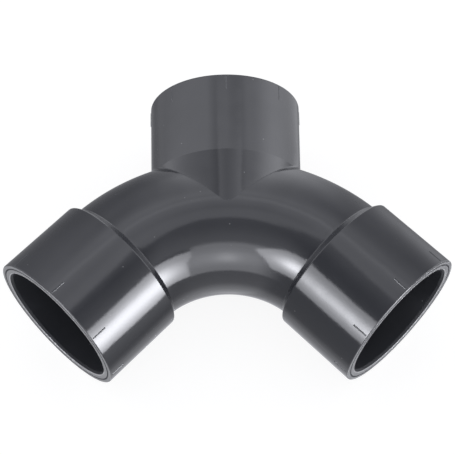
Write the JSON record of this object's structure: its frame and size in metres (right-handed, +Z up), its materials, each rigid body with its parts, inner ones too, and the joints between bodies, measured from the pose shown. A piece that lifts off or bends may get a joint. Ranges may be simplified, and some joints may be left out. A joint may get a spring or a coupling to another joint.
{
  "type": "pipe wye fitting",
  "caption": "Swept wye fitting for glued plastic pipe: a long-sweep bend with a socket at each end and another on its outside, moulded as one piece.",
  "frame": {"origin": "where the axes of the three sockets cross, just inside the rear socket and level with the middle of the bend's tube", "axes": "+Y out of the rear socket along its axis; +X across the two front sockets, to the right; +Z up from the surface that the fitting lies on"},
  "size_m": [0.218, 0.1425, 0.0754],
  "materials": {
    "body_plastic": "gloss"
  },
  "bodies": {
    "root": {"wye_body": "body_plastic"}
  },
  "joints": []
}
